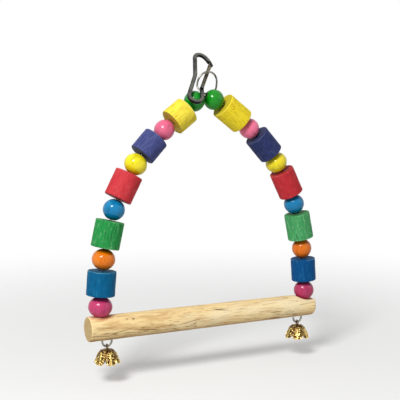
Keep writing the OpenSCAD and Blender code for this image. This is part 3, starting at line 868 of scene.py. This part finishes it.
bowEnd = arcEnd(spineTop, -hook["bow"][0], -hook["bow"][1])
noseEnd = arcEnd(bowEnd, -hook["nose"][0], -hook["nose"][1])
kneeEnd = arcEnd((0, 0, 180), -hook["knee"][0], -hook["knee"][1])
sideEnd = runEnd(kneeEnd, hook["side"])
roundEnd = arcEnd(sideEnd, hook["round"], 180 + hook["knee"][1])
pivot = runEnd(roundEnd, hook["rise"])
hookOff = bead["across"] / 2 + hook["beadRoom"] + hook["thick"] / 2
hookLean = math.radians(hook["lean"])
hookZ = seat(-1, 10)[1] + hookOff * math.sin(hookLean) - arch["rise"]
inHook = moved(hook["x"], -hookOff * math.cos(hookLean), hookZ) @ tilted(-hook["lean"], "X")
inHook = inHook @ moved(0, 0, -hook["slide"]) @ tilted(hook["turn"], "Y")
inHook = inHook @ moved(hook["round"] - roundEnd[0], 0, -roundEnd[1])
atPivot = inHook @ moved(pivot[0], 0, pivot[1])
atGate = atPivot @ tilted(hook["gateLean"], "Y")
kneeCap = hook["bar"] / 2 + hook["gap"]
tongue = hook["thick"] - 2 * hook["cheek"] - 2 * hook["gap"]


def markFront(piece):
    # how far each point faces the front or the back of the bar, which places the painted sheen and the
    # painted shade
    values = [abs(vertex.normal.y) for vertex in piece.data.vertices]
    piece.data.attributes.new("front", "FLOAT", "POINT").data.foreach_set("value", values)


def hookFinish(name, colour, dark, roughness):
    # dark sides as painted shade, and a painted sheen along the middle of the front and back faces, broken by
    # patches
    paint = Finish(name, roughness=roughness, metallic=0.8)
    front = paint.add("ShaderNodeAttribute", attribute_name="front").outputs["Fac"]
    scuffs = paint.cloud(paint.stretched((1, 1, 0.35)), 700, detail=6, rough=0.75)
    wearAndSheenPatches = paint.cloud(paint.stretched((1, 1, 0.6)), 210, detail=4)
    paintedSheen = paint.times(paint.between(front, 0.8, 1.0), paint.between(wearAndSheenPatches, 0.36, 0.6, 0.3, 1))
    base = paint.blend(dark, colour, paintedSheen)
    bright = mixed(colour, (0.9, 0.9, 0.85), 0.35)
    paint.colour(paint.blend(base, bright, paint.between(scuffs, 0.62, 0.76, 0, 0.6)))
    paint.rough(paint.between(scuffs, 0.3, 0.7, roughness - 0.08, roughness + 0.16))
    paint.bumps([(wearAndSheenPatches, 0.2, 0.2), (scuffs, 0.3, 0.08)])
    return paint.material


def roundPin(across, length, matrix, dome=0.0):
    half = length / 2
    profile = [(0.01, -half), (across / 2 * 0.6, -half + dome * 0.3), (across / 2, -half + dome)]
    profile += [(across / 2, half - dome), (across / 2 * 0.6, half - dome * 0.3), (0.01, half)]
    matrix = matrix @ Matrix.Rotation(math.pi / 2, 4, "X")
    return finishMesh("cutter", lathe(profile, 28, closed=False), matrix)


def flatBar(name, points, thick, wide, power, matrix):
    section = softBox(thick, wide, power)
    return finishMesh(name, sweep(points, section, side=Vector((0, 1, 0))), matrix)


def makeHookBody():
    nose = [runEnd(noseEnd, hook["noseTip"] * share) for share in (1, 0.6, 0.3)]
    places = nose + arcPlaces(bowEnd, -hook["nose"][0], -hook["nose"][1], 8)[::-1]
    places += arcPlaces(spineTop, -hook["bow"][0], -hook["bow"][1], 20)[::-1][1:]
    places += [runEnd(spineFoot, hook["spine"] * share) for share in (0.8, 0.6, 0.4, 0.2)]
    places += arcPlaces((0, 0, 180), -hook["knee"][0], -hook["knee"][1], 5)
    places += [runEnd(kneeEnd, hook["side"] * share) for share in (0.2, 0.4, 0.6, 0.8)]
    places += arcPlaces(sideEnd, hook["round"], 180 + hook["knee"][1], 26)
    barEnd = hook["rise"] - kneeCap - hook["gap"]
    places += [runEnd(roundEnd, barEnd * share) for share in (0.35, 0.7, 1)]
    points = [Vector((p[0], 0, p[1])) for p in places]
    wide, thick, gap, top = hook["bar"], hook["thick"], hook["gap"], hook["gateLong"]
    body = flatBar("visual_hook_body", points, thick, wide, hook["square"], inHook)
    catches = [boxCutter((-2 * wide, -thick, top - wide), (2 * wide, thick, top + gap), atGate),
               boxCutter((-2 * wide, -thick, top), (gap / 2, thick, top + hook["lip"] + gap), atGate)]
    cutAndJoin(body, catches, "DIFFERENCE")
    neck = boxCutter((-wide / 2, -tongue / 2, -kneeCap - wide / 2), (wide / 2, tongue / 2, 0), atPivot)
    cutAndJoin(body, [roundPin(wide, tongue, atPivot), neck], "UNION")
    cutAndJoin(body, [roundPin(hook["pin"] + 0.02, 3 * thick, atPivot)], "DIFFERENCE")
    markFront(body)
    bodyFinish = hookFinish("dark_hook_steel", hook["steel"], hook["dark"], 0.3)
    dress(body, bodyFinish, "hook_body", "hook")


def makeHookGate():
    wide, thick, gap, top = hook["bar"], hook["thick"], hook["gap"], hook["gateLong"]
    leaf = [Vector((0, 0, z)) for z in (-0.2, 2, 5, 10, 15, 20, top - 0.3, top)]
    gate = flatBar("visual_hook_gate", leaf, thick, hook["gate"], hook["gateSquare"], atGate)
    lipWide = (hook["gate"] - gap) / 2
    lipX = (lipWide - hook["gate"]) / 2
    lipPath = [Vector((lipX, 0, top + z)) for z in (-2, 0, 1.2, hook["lip"])]
    lip = flatBar("cutter", lipPath, thick, lipWide, hook["gateSquare"], atGate)
    cutAndJoin(gate, [roundPin(hook["gate"], thick, atGate), lip], "UNION")
    slot = boxCutter((-wide, -tongue / 2 - gap, -wide), (wide, tongue / 2 + gap, wide / 2 + gap), atGate)
    bore = roundPin(hook["pin"] + 2 * hook["pinFit"], 3 * thick, atGate)
    cutAndJoin(gate, [slot, bore], "DIFFERENCE")
    markFront(gate)
    gateFinish = hookFinish("gate_steel_painted_sheen", hook["gateSteel"], hook["gateDark"], 0.28)
    dress(gate, gateFinish, "hook_gate", "gate")


def makeGatePin():
    shank = hook["thick"] + hook["gap"]
    pin = roundPin(hook["pin"], shank + 0.1, atPivot)
    heads = []
    for end in (-1, 1):
        middle = atPivot @ moved(0, end * (shank + hook["head"]) / 2, 0)
        heads.append(roundPin(2 * hook["pin"], hook["head"], middle, hook["dome"]))
    cutAndJoin(pin, heads, "UNION")
    pinFinish = drawnSteel("pin_steel", hook["pinSteel"], hook["pinDark"], 0.35)
    dress(pin, pinFinish, "hook_gate_pin", "hook")


makeHookBody()
makeHookGate()
makeGatePin()
print("hook bent")


# Flower bells

bell = {
    "high": 8.8,
    "mouth": 8.6,  # radius
    "wall": 0.8,
    "notch": 3.8,  # depth between petals
    "petals": 6,
    "turn": {-1: 30, 1: 0},
    "thin": 0.7,  # wire of the hanger and the clapper
    "hang": 1.4,  # radius of the hanger's top loop
    "link": 1.1,
    "ball": 4.6,
    "ballDrop": 1.9,
    "loose": 0.35,
    "relief": 0.45,  # depth of the casting's pattern
    # shares of the mouth's radius and of the height, from the crown down
    "profile": ((0.045, 0), (0.28, 0), (0.5, 0.06), (0.66, 0.21),
                (0.78, 0.43), (0.87, 0.66), (0.94, 0.86), (1, 1)),
    "brass": (0.95, 0.82, 0.50),
    # the colour of the painted shade in the recesses of the pattern
    "hollow": (0.28, 0.19, 0.08),
    "browned": (0.40, 0.27, 0.13),
    "brownHeights": (-2.2, -0.4),
    "olive": (0.55, 0.44, 0.16),
    "bright": (1.0, 0.95, 0.74),
    "hanger": (0.50, 0.38, 0.24),
    "hangerDark": (0.18, 0.12, 0.07),
    "clapper": (0.85, 0.70, 0.36),
    "clapperDark": (0.4, 0.3, 0.12),
    "bore": 0.77,
    "granules": 1.15,  # granules in a millimetre
    "rimWide": 0.03,  # widths of the pattern's parts, as shares of the way down or of half a petal
    "ribWide": 0.13,
    "seamWide": 0.16,
    "collar": (0.16, 0.035),  # place and width
    "groove": 0.03,  # depth round the clapper's ball, as a share of its radius
    "columns": 240,  # points round the bell
    "rows": 40,  # from its crown to its edge
    "steps": 400,  # of the table that its outline is read from
}
hangMid = arch["wire"] / 2 + bell["loose"] + bell["thin"] / 2 - bell["hang"]
crownZ = hangMid - bell["hang"] - bell["thin"] / 2
innerZ = crownZ - 1.3 * bell["wall"] - bell["link"]
swingZ = innerZ - bell["link"]
clapMid = swingZ + bell["thin"] + bell["loose"] - bell["link"]
ballZ = clapMid - bell["link"] - bell["ballDrop"]


def castBrass():
    brass = Finish("cast_brass", roughness=0.3, metallic=1.0)
    relief = brass.add("ShaderNodeAttribute", attribute_name="relief").outputs["Fac"]
    grit = brass.cloud(brass.stretched((1, 1, 1)), 800, detail=5, rough=0.7)
    tarnish = brass.cloud(brass.stretched((1, 1, 1)), 240, detail=4)
    # the relief value paints the recesses of the pattern and the grooves between petals dark, as painted
    # shade
    base = brass.blend(bell["hollow"], bell["brass"], brass.between(relief, 0.12, 0.62))
    base = brass.blend(base, bell["olive"], brass.between(tarnish, 0.52, 0.72, 0, 0.6))
    base = brass.blend(base, bell["bright"], brass.between(grit, 0.56, 0.74, 0, 0.85))
    crown = brass.ramp(brass.axis("Z"), bell["brownHeights"])
    crown = brass.times(crown, brass.between(tarnish, 0.3, 0.6))
    brass.colour(brass.blend(base, bell["browned"], crown))
    brass.rough(brass.between(grit, 0.3, 0.7, 0.22, 0.42))
    brass.bumps([(tarnish, 0.5, 0.35), (grit, 0.5, 0.12)])
    return brass.material


def profileAt(share):
    points = bell["profile"]
    lengths = [0]
    for one, two in zip(points, points[1:]):
        across, down = (two[0] - one[0]) * bell["mouth"], (two[1] - one[1]) * bell["high"]
        lengths.append(lengths[-1] + math.hypot(across, down))
    run = share * lengths[-1]
    k = max(i for i in range(len(points) - 1) if lengths[i] <= run + 1e-9)
    f = (run - lengths[k]) / (lengths[k + 1] - lengths[k])
    p0, p1, p2, p3 = (points[min(max(k + j, 0), len(points) - 1)] for j in (-1, 0, 1, 2))
    value = []
    for axis in (0, 1):
        a, b, c, d = p0[axis], p1[axis], p2[axis], p3[axis]
        bend, twist = 2 * a - 5 * b + 4 * c - d, 3 * b - a - 3 * c + d
        value.append(0.5 * (2 * b + (c - a) * f + bend * f * f + twist * f ** 3))
    return value[0] * bell["mouth"], -value[1] * bell["high"]


def reliefAt(petal, share, edgeShare, point):
    # raised rim, ribs and round granules on each petal with a groove between petals, from 0 to 1
    collarAt, collarWide = bell["collar"]
    rim = math.exp(-((edgeShare - share) / bell["rimWide"]) ** 2)
    down = max(0, min(1, (share - 0.3) / 0.25))
    rib = math.exp(-(petal / bell["ribWide"]) ** 2) * down
    seam = math.exp(-((1 - abs(petal)) / bell["seamWide"]) ** 2) * min(1, down * 1.5)
    nearest = noise.voronoi(point * bell["granules"])[0][0]
    granule = max(0, 1 - (nearest / 0.42) ** 2)
    collar = math.exp(-((share - collarAt) / collarWide) ** 2) * 0.8
    return min(1, max(rim * 0.9, 0.5 * rib, collar, granule) + 0.12) * (1 - 0.9 * seam * (1 - rim))


def petalAt(angle, table):
    # the place across its petal from -1 to 1, how far the petal reaches there as a share, and in mm
    turn = (angle / (2 * math.pi) * bell["petals"] + 0.5) % 1 - 0.5
    beside = 1 - abs(turn) * 2
    cut = bell["notch"] * (1 - math.sqrt(max(0, 1 - (1 - min(1, beside * 1.5)) ** 2)))
    deepest = bell["high"] - cut
    edge = next((i for i, place in enumerate(table) if -place[1] >= deepest - 1e-6), bell["steps"])
    return turn * 2, edge / bell["steps"], deepest


def wallAt(share, table):
    # radius and height at that share of the way down, and the wall's normal
    index = min(int(share * bell["steps"]), bell["steps"] - 1)
    f = share * bell["steps"] - index
    (r0, z0), (r1, z1) = table[index:index + 2]
    size = math.hypot(r1 - r0, z1 - z0)
    return r0 * (1 - f) + r1 * f, z0 * (1 - f) + z1 * f, (z0 - z1) / size, (r1 - r0) / size


def bellWalls(side):
    table = [profileAt(i / bell["steps"]) for i in range(bell["steps"] + 1)]
    angles = [2 * math.pi * j / bell["columns"] for j in range(bell["columns"])]
    petals = [petalAt(angle, table) for angle in angles]
    thick = bell["wall"] + 0.05
    outer, inner, reliefs = [], [], []
    for i in range(bell["rows"] + 1):
        outRow, inRow = [], []
        for angle, (petal, edgeShare, deepest) in zip(angles, petals):
            share = edgeShare * i / bell["rows"]
            r, z, normalR, normalZ = wallAt(share, table)
            relief = reliefAt(petal, share, edgeShare, onRing(angle, r, z + 7 * side))
            depth = bell["relief"] * (1 - relief)
            outRow.append(onRing(angle, r - normalR * depth, max(z - normalZ * depth, -deepest)))
            inside = max(r - normalR * thick, bell["bore"] / 2)
            inRow.append(onRing(angle, inside, max(z - normalZ * thick, -deepest)))
            reliefs.append(relief)
        outer.append(outRow)
        inner.append(inRow)
    return outer, inner, reliefs


def makeBell(side, sideName):
    outer, inner, reliefs = bellWalls(side)
    place = moved(*bellPivot(side)) @ moved(0, 0, crownZ) @ tilted(bell["turn"][side], "Z")
    piece = finishMesh("visual_" + sideName + "_bell", ringSolid(outer + inner[::-1], True), place, sharp=70)
    values = reliefs + [0.3] * len(reliefs)  # the inside is plain, and its low value paints it mostly dark, as painted shade inside the bell
    piece.data.attributes.new("relief", "FLOAT", "POINT").data.foreach_set("value", values)
    dress(piece, brassFinish, sideName + "_bell", sideName + "_bell_set")


def thinLoop(radius, height, fromSide, matrix):
    # a ring of thin wire that looks round from the side, or else from the front
    points = []
    for i in range(36):
        angle = 2 * math.pi * i / 36
        a, b = radius * math.cos(angle), radius * math.sin(angle)
        points.append(Vector((0, a, height + b) if fromSide else (a, 0, height + b)))
    side = Vector((1, 0, 0) if fromSide else (0, 1, 0))
    return finishMesh("cutter", sweep(points, roundSection(bell["thin"], 12), closed=True, side=side), matrix)


def roundRod(across, low, high, matrix):
    return finishMesh("cutter", lathe([(across / 2, low), (across / 2, high)], 14, closed=False), matrix)


def makeHanger(side, sideName):
    atBell = moved(*bellPivot(side))
    hanger = thinLoop(bell["hang"], hangMid, True, atBell)
    lower = thinLoop(bell["link"], innerZ, False, atBell)
    stem = roundRod(bell["thin"], innerZ + bell["link"], hangMid - bell["hang"], atBell)
    cutAndJoin(hanger, [lower, stem], "UNION", 60)
    dress(hanger, hangerFinish, sideName + "_bell_hanger", sideName + "_bell_set")


def makeClapper(side, sideName):
    atBell = moved(*bellPivot(side))
    clapper = thinLoop(bell["link"], clapMid, True, atBell)
    drop = roundRod(bell["thin"], ballZ, ballZ + bell["ballDrop"], atBell)
    radius = bell["ball"] / 2
    profile = [(0.01, radius)]
    for i in range(1, 24):
        angle = math.pi * i / 24
        waist = 1 - bell["groove"] * math.exp(-((i - 12) / 1.2) ** 2)
        profile.append((radius * math.sin(angle) * waist, radius * math.cos(angle)))
    profile.append((0.01, -radius))
    ball = finishMesh("cutter", lathe(profile, 40, closed=False), atBell @ moved(0, 0, ballZ))
    cutAndJoin(clapper, [drop, ball], "UNION", 60)
    dress(clapper, clapperFinish, sideName + "_clapper", sideName + "_clapper_set")


brassFinish = castBrass()
hangerFinish = drawnSteel("hanger_brass", bell["hanger"], bell["hangerDark"], 0.28)
clapperFinish = drawnSteel("clapper_brass", bell["clapper"], bell["clapperDark"], 0.3)
for side, sideName in ((-1, "left"), (1, "right")):
    makeBell(side, sideName)
    makeHanger(side, sideName)
    makeClapper(side, sideName)
print("bells hung")


# Floor, light and camera

stage = {
    "floorBelow": 14,  # mm under the bells
    "floorRadius": 900,
    "fade": (60, 560),  # distances from the middle where the floor starts to fade and is gone
    "cover": 0.72,  # how much of the white backdrop the floor hides at its middle
    "floorColour": (0.98, 0.98, 0.975),
    "worldStrength": 0.27,
    "lampTarget": (0, 0, -80),
    "key": {"place": (-620, -560, 640), "power": 11.2, "size": 350},
    "fill": {"place": (700, -420, 320), "power": 0.5, "size": 500},
    "cameraPlace": (-262.3, -516.9, -17.25),
    "cameraTarget": (-5.86, 0, -76.06),
    "sensor": 36,
    "lens": 78.88,
    "clip": (10, 20000),
}


def makeFloor():
    bm = bmesh.new()
    bmesh.ops.create_circle(bm, cap_ends=True, radius=stage["floorRadius"] * mm, segments=64)
    height = boundsAtStart[0].z - stage["floorBelow"] * mm
    floor = finishMesh("floor", bm, Matrix.Translation((0, 0, height)))
    for polygon in floor.data.polygons:
        if polygon.normal.z < 0:
            polygon.flip()
    paper = Finish("floor_paper", roughness=0.9)
    tooth = paper.cloud(paper.stretched((1, 1, 1)), 300, detail=3)
    paper.colour(paper.blend(stage["floorColour"], mixed(stage["floorColour"], (0.9, 0.9, 0.9), 0.2),
                             paper.between(tooth, 0.3, 0.7, 0, 0.25)))
    paper.shader.inputs["Specular IOR Level"].default_value = 0.0
    length = paper.add("ShaderNodeVectorMath", operation="LENGTH")
    paper.join(paper.place, length.inputs[0])
    alpha = paper.ramp(length.outputs["Value"], stage["fade"], stage["cover"], 0.0)
    paper.join(alpha, paper.shader.inputs["Alpha"])
    keepPlaces(floor.data)
    floor.data.materials.append(paper.material)


def makeWorld():
    world = bpy.data.worlds.new("studio")
    bpy.context.scene.world = world
    world.use_nodes = True
    tree = world.node_tree
    tree.nodes.clear()
    out = tree.nodes.new("ShaderNodeOutputWorld")
    path = tree.nodes.new("ShaderNodeLightPath")
    mix = tree.nodes.new("ShaderNodeMixShader")
    either = tree.nodes.new("ShaderNodeMath")
    either.operation = "MAXIMUM"
    for i, rays in enumerate(("Is Camera Ray", "Is Glossy Ray")):
        tree.links.new(path.outputs[rays], either.inputs[i])
    tree.links.new(either.outputs[0], mix.inputs["Fac"])
    for i, strength in enumerate((stage["worldStrength"], 1)):  # for other rays, and for those two
        light = tree.nodes.new("ShaderNodeBackground")
        light.inputs["Color"].default_value = (1, 1, 1, 1)
        light.inputs["Strength"].default_value = strength
        tree.links.new(light.outputs[0], mix.inputs[i + 1])
    tree.links.new(mix.outputs[0], out.inputs["Surface"])


def makeLamp(name):
    data = bpy.data.lights.new(name, "AREA")
    data.energy, data.size = stage[name]["power"], stage[name]["size"] * mm
    lamp = bpy.data.objects.new(name, data)
    bpy.context.scene.collection.objects.link(lamp)
    lamp.location = Vector(stage[name]["place"]) * mm
    lamp.rotation_mode = "QUATERNION"
    lamp.rotation_quaternion = (Vector(stage["lampTarget"]) * mm - lamp.location).to_track_quat("-Z", "Y")


def makeCamera():
    data = bpy.data.cameras.new("camera")
    data.sensor_width, data.lens = stage["sensor"], stage["lens"]
    data.clip_start, data.clip_end = [distance * mm for distance in stage["clip"]]
    camera = bpy.data.objects.new("camera", data)
    bpy.context.scene.collection.objects.link(camera)
    camera.location = Vector(stage["cameraPlace"]) * mm
    target = Vector(stage["cameraTarget"]) * mm
    camera.rotation_mode = "QUATERNION"
    camera.rotation_quaternion = (target - camera.location).to_track_quat("-Z", "Y")
    bpy.context.scene.camera = camera


makeFloor()
makeWorld()
makeLamp("key")
makeLamp("fill")
makeCamera()
bpy.context.scene.view_settings.view_transform = "Standard"
print("lights and camera set")
